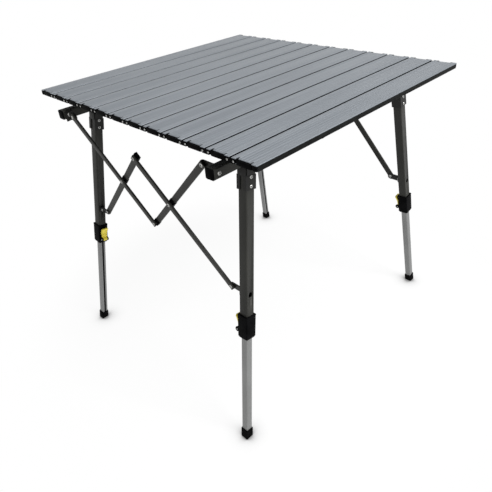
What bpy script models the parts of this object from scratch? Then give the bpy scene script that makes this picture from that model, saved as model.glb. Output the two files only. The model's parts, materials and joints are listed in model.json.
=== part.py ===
"""Roll-top camp kitchen table: slatted top on a folding scissor frame with telescopic legs.

Metres, +Z up. X runs across the slats, Y along them. The origin is on the floor, under the
middle of the table top. Left and right are -X and +X, front and back are -Y and +Y.
"""
import math

import bmesh
import bpy
from mathutils import Matrix, Vector

# Table top
TOP_WIDTH = 0.700
TOP_LENGTH = 0.668
TOP_HEIGHT = 0.674
SLAT_COUNT = 12
SLAT_GAP = 0.002
SLAT_THICK = 0.011
SLAT_WALL = 0.0014
SLAT_LIP = 0.007
SLAT_RIB_SPREAD = 0.010

# Slat end fittings
FLANGE_THICK = 0.003
LINK_THICK = 0.003
LINK_HEIGHT = 0.0086
LINK_PIN_INSET = 0.006
LINK_PIN_HEIGHT = 0.0047
LINK_PIN_RADIUS = 0.0018
LINK_BOSS_RADIUS = 0.0032
COVER_MARGIN = 0.0012

# Seats under the outer slats, which rest on the beams
SEAT_PLACE = 0.200
SEAT_LENGTH = 0.050
SEAT_HEIGHT = 0.017

# Beams
BEAM_SIZE = 0.020
BEAM_WALL = 0.0012
BEAM_INSET = 0.0986
BEAM_LENGTH = 0.687
CAP_FLANGE = 0.0025
CAP_PLUG = 0.005

# Legs
LEG_SIZE = 0.021
LEG_WALL = 0.0012
LEG_INSET = 0.0835
LEG_DROP = 0.010
LEG_HEAD_GAP = 0.010
SPLAY_X = math.radians(5.09)
SPLAY_Y = math.radians(10.17)
TONGUE_RADIUS = 0.0085
PIVOT_PIN_RADIUS = 0.003
UPPER_LEG_END = 0.340

# Leg brackets
BRACKET_PLATE = 0.0016
BRACKET_END = 0.039
BRACKET_EAR = 0.008
BRACKET_EAR_TURN = 20

# Lower legs and feet
LOWER_LEG_SIZE = 0.016
LOWER_LEG_WALL = 0.0012
LOWER_LEG_TOP = 0.285
GROOVE_WIDTH = 0.004
GROOVE_DEPTH = 0.0006
FOOT_SIZE = 0.0202
FOOT_HEIGHT = 0.0235
FOOT_SOLE = 0.006

# Lock collars and cam levers
COLLAR_TOP = 0.302
COLLAR_END = 0.357
COLLAR_SIZE = 0.0265
COLLAR_FLARE = 0.0008
COLLAR_CHAMFER = 0.004
LEVER_PIVOT = 0.343
LEVER_PIN_RADIUS = 0.0015
LEVER_LENGTH = 0.0335
LEVER_BEND = 0.018
LEVER_TOP_WIDTH = 0.0195
LEVER_BASE_WIDTH = 0.0120
LEVER_THICK = 0.0045
LEVER_FLARE = 0.005
LEVER_BARREL_TURNS = [math.radians(turn) for turn in (-70, -35, 0)]
LUG_THICK = 0.0028
LUG_RADIUS = 0.0056

# Scissor arms and their swivels
ARM_WIDTH = 0.014
ARM_THICK = 0.005
ARM_OVERHANG = 0.0085
LAYER_GAP = 0.0024
SPACER_GAP = 0.0009
BEAM_JOINT_REACH = 0.0372
BEAM_JOINT_INSET = 0.0115
LEG_JOINT_DROP = 0.254
LEG_JOINT_REACH = 0.039
UPPER_MIDDLE_DROP = 0.0447
LOWER_MIDDLE_DROP = 0.2094
ARM_PIN_RADIUS = 0.003
SPACER_RADIUS = 0.0065
SWIVEL_PLATE = 0.003
BEAM_SWIVEL_HALF = 0.0098
LEG_SWIVEL_HALF = 0.007
BOLT_RADIUS = 0.003
BOLT_HEAD_RADIUS = 0.005
BOLT_HEAD = 0.002
ACCESS_HOLE_RADIUS = 0.0054

# Fits
GAP = 0.0003
ROUND = 10
WELD = 0.0006

SIDES = {"left": -1, "right": 1}
ENDS = {"front": -1, "back": 1}

# Sizes that follow from the ones above
SLAT_PITCH = (TOP_WIDTH + SLAT_GAP) / SLAT_COUNT
SLAT_WIDTH = SLAT_PITCH - SLAT_GAP
SLAT_BASE = TOP_HEIGHT - SLAT_THICK
BEAM_X = TOP_WIDTH / 2 - BEAM_INSET
BEAM_TOP = SLAT_BASE - SEAT_HEIGHT
BEAM_CENTRE_HEIGHT = BEAM_TOP - BEAM_SIZE / 2
LEG_Y = BEAM_LENGTH / 2 - LEG_INSET
PIVOT_HEIGHT = BEAM_CENTRE_HEIGHT - BEAM_SIZE / 2 - LEG_DROP
BEAM_JOINT_X = BEAM_X - BEAM_JOINT_REACH
BEAM_JOINT_Y = BEAM_LENGTH / 2 - BEAM_JOINT_INSET
HUB_SLAT = SLAT_COUNT // 2 - 1


# Colours, roughness and metallic value of each finish
FINISHES = {
    "slat": ((0.29, 0.32, 0.36), 0.42, 0.85),
    "charcoal": ((0.055, 0.055, 0.05), 0.45, 0.5),
    "silver": ((0.55, 0.56, 0.55), 0.35, 0.9),
    "black": ((0.012, 0.012, 0.014), 0.5, 0.0),
    "yellow": ((0.75, 0.6, 0.08), 0.45, 0.0),
    "steel": ((0.05, 0.05, 0.048), 0.4, 0.6),
}


def material(name, finish):
    """A Principled material of one finish, for one object."""
    colour, roughness, metallic = FINISHES[finish]
    made = bpy.data.materials.new(name)
    made.use_nodes = True
    shader = made.node_tree.nodes["Principled BSDF"]
    shader.inputs["Base Color"].default_value = (*colour, 1.0)
    shader.inputs["Roughness"].default_value = roughness
    shader.inputs["Metallic"].default_value = metallic
    return made


def mesh_from(points, faces):
    """A closed mesh from points and faces, with its faces turned outward."""
    shape = bmesh.new()
    made = [shape.verts.new(point) for point in points]
    for face in faces:
        shape.faces.new([made[index] for index in face])
    bmesh.ops.recalc_face_normals(shape, faces=shape.faces)
    mesh = bpy.data.meshes.new("shape")
    shape.to_mesh(mesh)
    shape.free()
    return mesh


def loft(rings, closed=False):
    """Rings of equally many points joined in turn: with end faces, or closed into a sleeve."""
    count = len(rings[0])
    points = [point for ring in rings for point in ring]
    faces = []
    for row in range(len(rings) if closed else len(rings) - 1):
        after = (row + 1) % len(rings)
        for place in range(count):
            beside = (place + 1) % count
            faces.append(
                (
                    row * count + place,
                    row * count + beside,
                    after * count + beside,
                    after * count + place,
                )
            )
    if not closed:
        last = (len(rings) - 1) * count
        faces.append(tuple(range(count - 1, -1, -1)))
        faces.append(tuple(range(last, last + count)))
    return mesh_from(points, faces)


def square(half_x, half_y, height, centre=(0.0, 0.0)):
    """A rectangular ring at one height."""
    x, y = centre
    corners = ((-1, -1), (1, -1), (1, 1), (-1, 1))
    return [(x + u * half_x, y + v * half_y, height) for u, v in corners]


def block(low, high):
    """A box between two corners."""
    (x0, y0, z0), (x1, y1, z1) = low, high
    centre = ((x0 + x1) / 2, (y0 + y1) / 2)
    half_x, half_y = abs(x1 - x0) / 2, abs(y1 - y0) / 2
    return loft([square(half_x, half_y, z0, centre), square(half_x, half_y, z1, centre)])


def extrusion(outline, axis, low, high):
    """An outline pushed along one axis: the outline's two values fill the other two axes."""
    rings = []
    for reach in (low, high):
        ring = []
        for first, second in outline:
            point = [first, second]
            point.insert("xyz".index(axis), reach)
            ring.append(tuple(point))
        rings.append(ring)
    return loft(rings)


def rod(radius, axis, centre, low, high, squash=1.0):
    """A round bar along one axis through a centre given by its other two values."""
    turns = [2 * math.pi * (step + 0.5) / ROUND for step in range(ROUND)]
    outline = [
        (centre[0] + radius * math.cos(turn), centre[1] + squash * radius * math.sin(turn))
        for turn in turns
    ]
    return extrusion(outline, axis, min(low, high), max(low, high))


def arc(centre, radius, start, end, steps=5):
    """Points on an arc, from one angle to another, in degrees."""
    angles = [math.radians(start + (end - start) * step / steps) for step in range(steps + 1)]
    return [(centre[0] + radius * math.cos(a), centre[1] + radius * math.sin(a)) for a in angles]


def combine(mesh, others, operation):
    """Unites meshes with a mesh, or cuts them out of it, and returns the result."""
    base = bpy.data.objects.new("base", mesh)
    bpy.context.collection.objects.link(base)
    helpers = [base]
    for other in others:
        tool = bpy.data.objects.new("tool", other)
        bpy.context.collection.objects.link(tool)
        step = base.modifiers.new("step", "BOOLEAN")
        step.operation = operation
        step.object = tool
        helpers.append(tool)
    bpy.context.view_layer.update()
    graph = bpy.context.evaluated_depsgraph_get()
    result = bpy.data.meshes.new_from_object(base.evaluated_get(graph))
    for helper in helpers:
        bpy.data.objects.remove(helper)
    return result


def unite(mesh, *others):
    return combine(mesh, others, "UNION")


def cut(mesh, *others):
    return combine(mesh, others, "DIFFERENCE")


def add(name, mesh, finish, origin=None, parent=None):
    """Puts a mesh in the scene as a named object, its points given from its origin."""
    made = bpy.data.objects.new(name, mesh)
    bpy.context.collection.objects.link(made)
    mesh.materials.clear()
    mesh.materials.append(material(name, finish))
    if parent is not None:
        made.parent = parent
    if origin is not None:
        mesh.transform(Matrix.Translation(-Vector(origin)))
        made.location = origin
    return made


def stand(name, matrix):
    """An empty that carries the pieces of one assembly."""
    made = bpy.data.objects.new(name, None)
    bpy.context.collection.objects.link(made)
    made.matrix_world = matrix
    return made


# Table top

def slat_left(number):
    """The left edge of a slat."""
    return -TOP_WIDTH / 2 + number * SLAT_PITCH


def slat_profile(left):
    """An inverted channel with two ribs under its deck and lips along its edges."""
    right = left + SLAT_WIDTH
    middle = (left + right) / 2
    base, deck = SLAT_BASE, TOP_HEIGHT - SLAT_WALL
    ribs = []
    for side in (1, -1):
        rib = middle + side * SLAT_RIB_SPREAD
        ribs += [
            (rib + SLAT_WALL / 2, deck),
            (rib + SLAT_WALL / 2, base + SLAT_WALL),
            (rib - SLAT_WALL / 2, base + SLAT_WALL),
            (rib - SLAT_WALL / 2, deck),
        ]
    return [
        (left, base),
        (left, TOP_HEIGHT),
        (right, TOP_HEIGHT),
        (right, base),
        (right - SLAT_LIP, base),
        (right - SLAT_LIP, base + SLAT_WALL),
        (right - SLAT_WALL, base + SLAT_WALL),
        (right - SLAT_WALL, deck),
        *ribs,
        (left + SLAT_WALL, deck),
        (left + SLAT_WALL, base + SLAT_WALL),
        (left + SLAT_LIP, base + SLAT_WALL),
        (left + SLAT_LIP, base),
    ]


def link_plate(near, far, face, out):
    """A chain link with round ends over two pin places, on one end of the top."""
    height = SLAT_BASE + LINK_PIN_HEIGHT
    low, high = min(near, far), max(near, far)
    outline = arc((high, height), LINK_HEIGHT / 2, -90, 90) + arc((low, height), LINK_HEIGHT / 2, 90, 270)
    return extrusion(outline, "y", min(face, face + out * LINK_THICK), max(face, face + out * LINK_THICK))


def make_slat(number):
    """One slat with its end flanges, the chain links it carries and the holes for others' pins."""
    left = slat_left(number)
    right = left + SLAT_WIDTH
    body_end = TOP_LENGTH / 2 - FLANGE_THICK - GAP - LINK_THICK
    mesh = extrusion(slat_profile(left), "y", -body_end - WELD, body_end + WELD)
    outward = (number > HUB_SLAT) - (number < HUB_SLAT)
    pin_height = SLAT_BASE + LINK_PIN_HEIGHT
    pins = {-1: left + LINK_PIN_INSET, 1: right - LINK_PIN_INSET}
    reach = SLAT_GAP + 2 * LINK_PIN_INSET
    link_end = LINK_HEIGHT / 2 + GAP
    added, removed = [], []
    for out in (-1, 1):
        flange = out * body_end
        face = flange + out * FLANGE_THICK
        plate = face + out * GAP
        outer = plate + out * LINK_THICK
        added.append(block((left, min(flange, face), SLAT_BASE), (right, max(flange, face), TOP_HEIGHT)))
        first = left + COVER_MARGIN if number == 0 else pins[-1] + link_end
        last = right - COVER_MARGIN if number == SLAT_COUNT - 1 else pins[1] - link_end
        cover_low = (first, min(face - out * WELD, outer), SLAT_BASE + COVER_MARGIN)
        cover_high = (last, max(face - out * WELD, outer), TOP_HEIGHT - COVER_MARGIN)
        added.append(block(cover_low, cover_high))
        for side in (-1, 1):
            neighbour = number + side
            if not 0 <= neighbour < SLAT_COUNT:
                continue
            if side == -outward:
                hole = LINK_PIN_RADIUS + GAP
                removed.append(rod(hole, "y", (pins[side], pin_height), flange - out * GAP, face + out * GAP))
                continue
            far = pins[side] + side * reach
            added.append(link_plate(pins[side], far, plate, out))
            weld_in, weld_out = face - out * WELD, plate + out * WELD
            added.append(rod(LINK_BOSS_RADIUS, "y", (pins[side], pin_height), weld_in, weld_out))
            tip = flange + out * GAP
            added.append(rod(LINK_PIN_RADIUS, "y", (far, pin_height), tip, plate + out * WELD))
    for side in SIDES.values():
        if left < side * BEAM_X < right:
            added += [seat(left, right, side, place) for place in (-SEAT_PLACE, SEAT_PLACE)]
    mesh = unite(mesh, *added)
    if removed:
        mesh = cut(mesh, *removed)
    origin_x = pins[-outward] if outward else (left + right) / 2
    origin_z = pin_height if outward else SLAT_BASE
    return add(f"slat_{number + 1:02d}", mesh, "slat", (origin_x, 0, origin_z))


def seat(left, right, side, place):
    """A block under a slat, as wide as the beam that it rests on."""
    half = BEAM_SIZE / 2
    first = max(side * BEAM_X - half, left + COVER_MARGIN)
    last = min(side * BEAM_X + half, right - COVER_MARGIN)
    low = (first, place - SEAT_LENGTH / 2, BEAM_TOP + GAP)
    high = (last, place + SEAT_LENGTH / 2, TOP_HEIGHT - SLAT_WALL / 2)
    return block(low, high)


# Frames of the parts that stand at an angle

def leg_frame(side, end):
    """A leg's own axes: its origin on the pivot, X along the pivot, Z up the leg."""
    place = Matrix.Translation((side * BEAM_X, end * LEG_Y, PIVOT_HEIGHT))
    return place @ Matrix.Rotation(-side * SPLAY_X, 4, "Y") @ Matrix.Rotation(end * SPLAY_Y, 4, "X")


def pivot_frame(side, end):
    """The leg pivot's axes on the beam: as the leg's, with the leg straight down."""
    place = Matrix.Translation((side * BEAM_X, end * LEG_Y, PIVOT_HEIGHT))
    return place @ Matrix.Rotation(-side * SPLAY_X, 4, "Y")


def leg_bolt(side, end):
    """The place on a leg's axis where its arm swivel is bolted."""
    return leg_frame(side, end) @ Vector((0, 0, -LEG_JOINT_DROP))


def scissor_frame(end):
    """Axes of one scissor set: X across, Y down from the beam joints to the leg joints."""
    top = Vector((0, end * BEAM_JOINT_Y, BEAM_CENTRE_HEIGHT))
    low = leg_bolt(1, end)
    down = Vector((0, low.y - top.y, low.z - top.z))
    length = down.length
    down.normalize()
    across = Vector((1, 0, 0))
    normal = across.cross(down)
    frame = Matrix((across, down, normal)).transposed().to_4x4()
    frame.translation = top
    return frame, length


# Beams with the leg tongues, and their caps

def tongue(side, end):
    """The rounded knuckle under a beam that a leg's bracket turns on."""
    half = LEG_SIZE / 2 - GAP
    rise = LEG_DROP + BEAM_WALL
    outline = [(TONGUE_RADIUS, rise), (-TONGUE_RADIUS, rise)] + arc((0, 0), TONGUE_RADIUS, 180, 360)
    mesh = extrusion(outline, "x", -half, half)
    hole = rod(PIVOT_PIN_RADIUS + GAP, "x", (0, 0), -half - GAP, half + GAP)
    mesh = cut(mesh, hole)
    mesh.transform(pivot_frame(side, end))
    return mesh


def make_beam(name, side):
    """A square tube with a tongue for each leg and a bolt hole near each end."""
    half, bore, reach = BEAM_SIZE / 2, BEAM_SIZE / 2 - BEAM_WALL, BEAM_LENGTH / 2
    rings = []
    for size, place in ((half, -reach), (half, reach), (bore, reach), (bore, -reach)):
        corners = ((-1, -1), (1, -1), (1, 1), (-1, 1))
        centre = (side * BEAM_X, BEAM_CENTRE_HEIGHT)
        rings.append([(centre[0] + u * size, place, centre[1] + v * size) for u, v in corners])
    mesh = loft(rings, closed=True)
    mesh = unite(mesh, *[tongue(side, end) for end in ENDS.values()])
    holes = []
    for end in ENDS.values():
        low, high = side * BEAM_X - BEAM_SIZE, side * BEAM_X + BEAM_SIZE
        holes.append(rod(BOLT_RADIUS + GAP, "x", (end * BEAM_JOINT_Y, BEAM_CENTRE_HEIGHT), low, high))
    add(f"beam_{name}", cut(mesh, *holes), "charcoal", (side * BEAM_X, 0, BEAM_CENTRE_HEIGHT))


def make_beam_cap(name, side, end):
    """A plug pushed into the beam's end, with a flange over the tube's wall."""
    x, z = side * BEAM_X, BEAM_CENTRE_HEIGHT
    face = end * (BEAM_LENGTH / 2 + GAP)
    sizes = (
        (BEAM_SIZE / 2 - BEAM_WALL - GAP, face - end * CAP_PLUG),
        (BEAM_SIZE / 2 - BEAM_WALL - GAP, face),
        (BEAM_SIZE / 2, face),
        (BEAM_SIZE / 2, face + end * CAP_FLANGE / 2),
        (BEAM_SIZE / 2 - CAP_FLANGE / 2, face + end * CAP_FLANGE),
    )
    corners = ((-1, -1), (1, -1), (1, 1), (-1, 1))
    rings = [[(x + u * size, place, z + v * size) for u, v in corners] for size, place in sizes]
    add(f"beam_cap_{name}", loft(rings), "black", (x, face, z))


# Legs

def tube_rings(outer, inner, top, low):
    return [
        square(outer, outer, low),
        square(outer, outer, top),
        square(inner, inner, top),
        square(inner, inner, low),
    ]


def make_upper_leg(name, side, leg):
    """A square tube with a bolt hole on its inner face and an access hole on the outer one."""
    half, bore = LEG_SIZE / 2, LEG_SIZE / 2 - LEG_WALL
    mesh = loft(tube_rings(half, bore, -LEG_HEAD_GAP, -UPPER_LEG_END), closed=True)
    bolt = rod(BOLT_RADIUS + GAP, "x", (0, -LEG_JOINT_DROP), 0, -side * LEG_SIZE)
    access = rod(ACCESS_HOLE_RADIUS, "x", (0, -LEG_JOINT_DROP), 0, side * LEG_SIZE)
    add(f"upper_leg_{name}", cut(mesh, bolt, access), "charcoal", parent=leg)


def make_bracket(name, end, leg):
    """A pressed channel riveted round the leg's head, with two ears and the pivot pin."""
    inner = LEG_SIZE / 2 + GAP
    outer = inner + BRACKET_PLATE
    half = LEG_SIZE / 2
    back = -end
    outline = [
        (-outer, -back * half),
        (-inner, -back * half),
        (-inner, back * inner),
        (inner, back * inner),
        (inner, -back * half),
        (outer, -back * half),
        (outer, back * outer),
        (-outer, back * outer),
    ]
    mesh = extrusion(outline, "z", -BRACKET_END, -LEG_HEAD_GAP - BRACKET_PLATE)
    rounded = arc((0, 0), BRACKET_EAR, BRACKET_EAR_TURN, 180 - BRACKET_EAR_TURN)
    ear = [(half, -BRACKET_END + BRACKET_PLATE), (half, 0)] + rounded
    ear += [(-half, 0), (-half, -BRACKET_END + BRACKET_PLATE)]
    ears = [extrusion(ear, "x", min(a, b), max(a, b)) for a, b in ((-outer, -inner), (inner, outer))]
    pin = rod(PIVOT_PIN_RADIUS, "x", (0, 0), -inner - BRACKET_PLATE / 2, inner + BRACKET_PLATE / 2)
    add(f"leg_bracket_{name}", unite(mesh, *ears, pin), "steel", parent=leg)


def make_collar(name, side, leg):
    """A moulded sleeve on the upper leg's end, stepped inside to guide the lower leg."""
    half, flare = COLLAR_SIZE / 2, COLLAR_SIZE / 2 + COLLAR_FLARE
    wide, narrow = LEG_SIZE / 2 + GAP, LOWER_LEG_SIZE / 2 + GAP
    foot = half - COLLAR_CHAMFER / 3
    step = -UPPER_LEG_END - GAP
    sizes = (
        (foot, -COLLAR_END),
        (half, -COLLAR_END + COLLAR_CHAMFER),
        (flare, -COLLAR_TOP - COLLAR_CHAMFER / 2),
        (flare, -COLLAR_TOP),
        (wide, -COLLAR_TOP),
        (wide, step),
        (narrow, step),
        (narrow, -COLLAR_END),
    )
    mesh = loft([square(size, size, height) for size, height in sizes], closed=True)
    inward = -side
    axis = inward * (half + LUG_RADIUS)
    lugs, holes = [], []
    for beside in (-1, 1):
        low = beside * (LEVER_BASE_WIDTH / 2 + GAP)
        high = low + beside * LUG_THICK
        outline = arc((0, 0), LUG_RADIUS, -90, 90)
        outline = [(axis + inward * u, -LEVER_PIVOT + v) for u, v in outline]
        root = inward * (half - WELD)
        outline += [(root, -LEVER_PIVOT + LUG_RADIUS), (root, -LEVER_PIVOT - LUG_RADIUS / 2)]
        lugs.append(extrusion(outline, "y", min(low, high), max(low, high)))
        spot = (axis, -LEVER_PIVOT)
        holes.append(rod(LEVER_PIN_RADIUS + GAP, "y", spot, low - beside * GAP, high + beside * GAP))
    add(f"lock_collar_{name}", cut(unite(mesh, *lugs), *holes), "black", parent=leg)


def make_lever(name, side, leg):
    """A cam lever between the collar's lugs, its origin on the pin that it turns on."""
    inward = -side
    barrel = LUG_RADIUS - COLLAR_FLARE - GAP
    back = -barrel
    front = back + LEVER_THICK
    base, top = LEVER_BASE_WIDTH / 2, LEVER_TOP_WIDTH / 2
    low = [(math.sin(turn) * barrel, math.cos(turn) * barrel) for turn in LEVER_BARREL_TURNS]
    stations = (
        *((height, -reach, reach, base) for height, reach in low),
        (barrel, back, barrel, base),
        (LEVER_BEND, back, front, base + (top - base) * LEVER_BEND / LEVER_LENGTH),
        (LEVER_LENGTH, back + LEVER_FLARE, front + LEVER_FLARE, top),
    )
    rings = []
    for height, near, far, width in stations:
        centre = (inward * (near + far) / 2, 0)
        rings.append(square((far - near) / 2, width, height, centre))
    mesh = loft(rings)
    reach = base + LUG_THICK
    mesh = unite(mesh, rod(LEVER_PIN_RADIUS, "y", (0, 0), -reach, reach))
    made = add(f"lock_lever_{name}", mesh, "yellow", parent=leg)
    made.location = (inward * (COLLAR_SIZE / 2 + LUG_RADIUS), 0, -LEVER_PIVOT)


def floor_drop(frame, x, y, rise):
    """The distance down a leg from its pivot to a height over the floor, at one corner."""
    start = frame @ Vector((x, y, 0))
    down = frame.to_3x3() @ Vector((0, 0, -1))
    return (start.z - rise) / -down.z


def make_lower_leg(name, side, frame, leg):
    """A square tube that slides in the upper leg, with a groove down its inner face."""
    half, bore = LOWER_LEG_SIZE / 2, LOWER_LEG_SIZE / 2 - LOWER_LEG_WALL
    slot, depth = GROOVE_WIDTH / 2, GROOVE_DEPTH
    inward = -side

    def outline(size, notch, height):
        points = [(size, -size), (size, -slot), (size - notch, -slot), (size - notch, slot), (size, slot)]
        points += [(size, size), (-size, size), (-size, -size)]
        return [(inward * x, y, height) for x, y in points]

    low = -floor_drop(frame, 0, 0, FOOT_SOLE)
    inset = depth / 2
    rings = [
        outline(half, depth, low),
        outline(half, depth, -LOWER_LEG_TOP),
        outline(bore, inset, -LOWER_LEG_TOP),
        outline(bore, inset, low),
    ]
    add(f"lower_leg_{name}", loft(rings, closed=True), "silver", parent=leg)


def make_foot(name, frame, leg):
    """A rubber boot on the lower leg, with its sole cut level with the floor."""
    half, bore = FOOT_SIZE / 2, LOWER_LEG_SIZE / 2 + GAP
    seat = -floor_drop(frame, 0, 0, FOOT_SOLE) - GAP
    top = -floor_drop(frame, 0, 0, FOOT_HEIGHT)
    sole = [(x, y, -floor_drop(frame, x, y, 0)) for x, y, _ in square(half, half, 0)]
    rings = [sole, square(half, half, top), square(bore, bore, top), square(bore, bore, seat)]
    add(f"foot_{name}", loft(rings), "black", parent=leg)


# Scissor arms and the swivels that carry them

def arm_layer(side, kind, end):
    """Which way an arm lies from the middle plane of its scissor set, in that set's own axes."""
    inner = -end
    on_inner_layer = (kind == "beam") == (side == 1)
    return inner if on_inner_layer else -inner


def arm_ends(side, kind, end):
    """An arm's carried end and its far end at the middle, as places in the scissor plane."""
    if kind == "beam":
        return (side * BEAM_JOINT_X, 0.0), (0.0, LOWER_MIDDLE_DROP)
    _, length = scissor_frame(end)
    bolt = leg_bolt(side, end)
    return (side * (abs(bolt.x) - LEG_JOINT_REACH), length), (0.0, UPPER_MIDDLE_DROP)


def crossing(side, end):
    """The place in the scissor plane where a side's two arms cross."""
    (ax, ay), (bx, by) = arm_ends(side, "beam", end)
    (cx, cy), (dx, dy) = arm_ends(side, "leg", end)
    along = ((cx - ax) * (dy - cy) - (cy - ay) * (dx - cx)) / (
        (bx - ax) * (dy - cy) - (by - ay) * (dx - cx)
    )
    return ax + along * (bx - ax), ay + along * (by - ay)


def make_arm(side_name, side, kind, end_name, end):
    """A flat tube from its swivel to the middle of the set, with spacers if on the inner layer."""
    frame, _ = scissor_frame(end)
    start, finish = arm_ends(side, kind, end)
    layer = arm_layer(side, kind, end)
    run = Vector((finish[0] - start[0], finish[1] - start[1]))
    length = run.length
    run.normalize()
    turn = Vector((-run.y, run.x))

    def spot(along, across):
        return (start[0] + run.x * along + turn.x * across, start[1] + run.y * along + turn.y * across)

    half = ARM_WIDTH / 2
    outline = [
        spot(-ARM_OVERHANG, -half),
        spot(length + ARM_OVERHANG, -half),
        spot(length + ARM_OVERHANG, half),
        spot(-ARM_OVERHANG, half),
    ]
    near, far = layer * LAYER_GAP / 2, layer * (LAYER_GAP / 2 + ARM_THICK)
    mesh = extrusion(outline, "z", min(near, far), max(near, far))
    if layer == -end:
        reach = -layer * (LAYER_GAP / 2 - SPACER_GAP)
        for place in (finish, crossing(side, end)):
            disc = rod(SPACER_RADIUS, "z", place, reach, near + layer * WELD)
            mesh = unite(mesh, disc)
    hole = rod(ARM_PIN_RADIUS + GAP, "z", start, near - layer * WELD, far + layer * WELD)
    mesh = cut(mesh, hole)
    mesh.transform(frame)
    add(f"{kind}_arm_{side_name}_{end_name}", mesh, "charcoal", frame @ Vector((*start, 0)))


def swivel_plate(side, kind, end, root, half):
    """The plate that an arm is pinned to, with its pin, in the scissor set's own axes."""
    (x, y), _ = arm_ends(side, kind, end)
    layer = arm_layer(side, kind, end)
    near, far = layer * LAYER_GAP / 2, layer * (LAYER_GAP / 2 + ARM_THICK)
    behind_arm = kind == "beam" and layer == -end
    way = layer if behind_arm else -layer
    seat, free = (far, near) if behind_arm else (near, far)
    face = seat + way * GAP
    back = face + way * SWIVEL_PLATE
    tip = x - side * half
    low = (min(tip, root), y - half, min(face, back))
    high = (max(tip, root), y + half, max(face, back))
    pin = rod(ARM_PIN_RADIUS, "z", (x, y), back - way * WELD, free)
    return [block(low, high), pin]


def make_beam_swivel(name, side, end):
    """A bent bracket on a bolt through the beam, for the upper end of an arm."""
    frame, _ = scissor_frame(end)
    face = side * (BEAM_X - BEAM_SIZE / 2 - GAP)
    back = face - side * SWIVEL_PLATE
    half = BEAM_SWIVEL_HALF
    low = (min(face, back), -half, -half)
    high = (max(face, back), half, half)
    seat = side * (BEAM_X + BEAM_SIZE / 2 + GAP)
    bolt = rod(BOLT_RADIUS, "x", (0, 0), back + side * WELD, seat + side * WELD)
    head = rod(BOLT_HEAD_RADIUS, "x", (0, 0), seat, seat + side * BOLT_HEAD)
    plates = swivel_plate(side, "beam", end, back + side * WELD, half)
    mesh = unite(block(low, high), *plates, bolt, head)
    mesh.transform(frame)
    add(f"beam_swivel_{name}", mesh, "steel", frame @ Vector((side * BEAM_X, 0, 0)))


def make_leg_swivel(name, side, end):
    """A bent bracket bolted to a leg's inner face, for the lower end of an arm."""
    frame, _ = scissor_frame(end)
    leg = leg_frame(side, end)
    face = -side * (LEG_SIZE / 2 + GAP)
    back = face - side * SWIVEL_PLATE
    half = LEG_SWIVEL_HALF
    low = (min(face, back), -half, -LEG_JOINT_DROP - half)
    high = (max(face, back), half, -LEG_JOINT_DROP + half)
    tip = -side * (LEG_SIZE / 2 - LEG_WALL)
    bolt = rod(BOLT_RADIUS, "x", (0, -LEG_JOINT_DROP), face - side * WELD, tip)
    foot = unite(block(low, high), bolt)
    foot.transform(frame.inverted() @ leg)
    root = side * (abs(leg_bolt(side, end).x) - LEG_SIZE / 2 - SWIVEL_PLATE + WELD)
    mesh = unite(foot, *swivel_plate(side, "leg", end, root, half))
    mesh.transform(frame)
    add(f"leg_swivel_{name}", mesh, "steel", leg_bolt(side, end))


def main():
    for old in list(bpy.data.objects):
        bpy.data.objects.remove(old)
    for number in range(SLAT_COUNT):
        make_slat(number)
    for side_name, side in SIDES.items():
        make_beam(side_name, side)
        for end_name, end in ENDS.items():
            name = f"{side_name}_{end_name}"
            frame = leg_frame(side, end)
            leg = stand(f"leg_axis_{name}", frame)
            make_beam_cap(name, side, end)
            make_bracket(name, end, leg)
            make_upper_leg(name, side, leg)
            make_collar(name, side, leg)
            make_lever(name, side, leg)
            make_lower_leg(name, side, frame, leg)
            make_foot(name, frame, leg)
            make_beam_swivel(name, side, end)
            make_leg_swivel(name, side, end)
            for kind in ("beam", "leg"):
                make_arm(side_name, side, kind, end_name, end)


main()
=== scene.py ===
"""Roll-top camp kitchen table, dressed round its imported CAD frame, in metres with +Z up."""
import json
import math

import bmesh
import bpy
from mathutils import Matrix, Vector


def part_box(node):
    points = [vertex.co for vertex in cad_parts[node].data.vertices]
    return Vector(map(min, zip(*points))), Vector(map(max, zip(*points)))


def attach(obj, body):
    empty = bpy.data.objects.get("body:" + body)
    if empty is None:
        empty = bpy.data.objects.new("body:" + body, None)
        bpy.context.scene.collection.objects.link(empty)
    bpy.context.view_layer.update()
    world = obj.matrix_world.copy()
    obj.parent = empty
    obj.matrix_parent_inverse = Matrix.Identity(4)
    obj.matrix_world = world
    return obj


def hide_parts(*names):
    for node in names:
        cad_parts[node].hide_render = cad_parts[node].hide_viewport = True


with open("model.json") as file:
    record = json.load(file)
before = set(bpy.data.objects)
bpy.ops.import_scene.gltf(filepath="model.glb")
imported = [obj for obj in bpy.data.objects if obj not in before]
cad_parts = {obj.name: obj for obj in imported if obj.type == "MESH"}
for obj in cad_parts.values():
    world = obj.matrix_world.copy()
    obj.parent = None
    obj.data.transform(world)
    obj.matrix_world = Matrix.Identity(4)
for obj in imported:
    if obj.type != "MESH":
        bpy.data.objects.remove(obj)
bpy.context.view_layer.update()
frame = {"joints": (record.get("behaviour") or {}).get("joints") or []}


# Camera
# It stands off the right front corner, above the top, and looks down at the middle of the frame.
# Its place, lens and slight roll come from fitting the table's corners to the photograph.
CAMERA_PLACE = Vector((0.80414, -0.79522, 0.97975))
CAMERA_TARGET = Vector((0.1409, -0.1719, 0.35))
CAMERA_ROLL = -0.0794
CAMERA_LENS = 34.82
CAMERA_SENSOR = 36.0

camera = bpy.data.objects.new("camera", bpy.data.cameras.new("camera"))
bpy.context.collection.objects.link(camera)
camera.data.lens = CAMERA_LENS
camera.data.sensor_width = CAMERA_SENSOR
camera.location = CAMERA_PLACE
aim = (CAMERA_TARGET - CAMERA_PLACE).to_track_quat("-Z", "Y")
camera.rotation_mode = "QUATERNION"
camera.rotation_quaternion = aim @ Matrix.Rotation(CAMERA_ROLL, 3, "Z").to_quaternion()
bpy.context.scene.camera = camera


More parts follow.
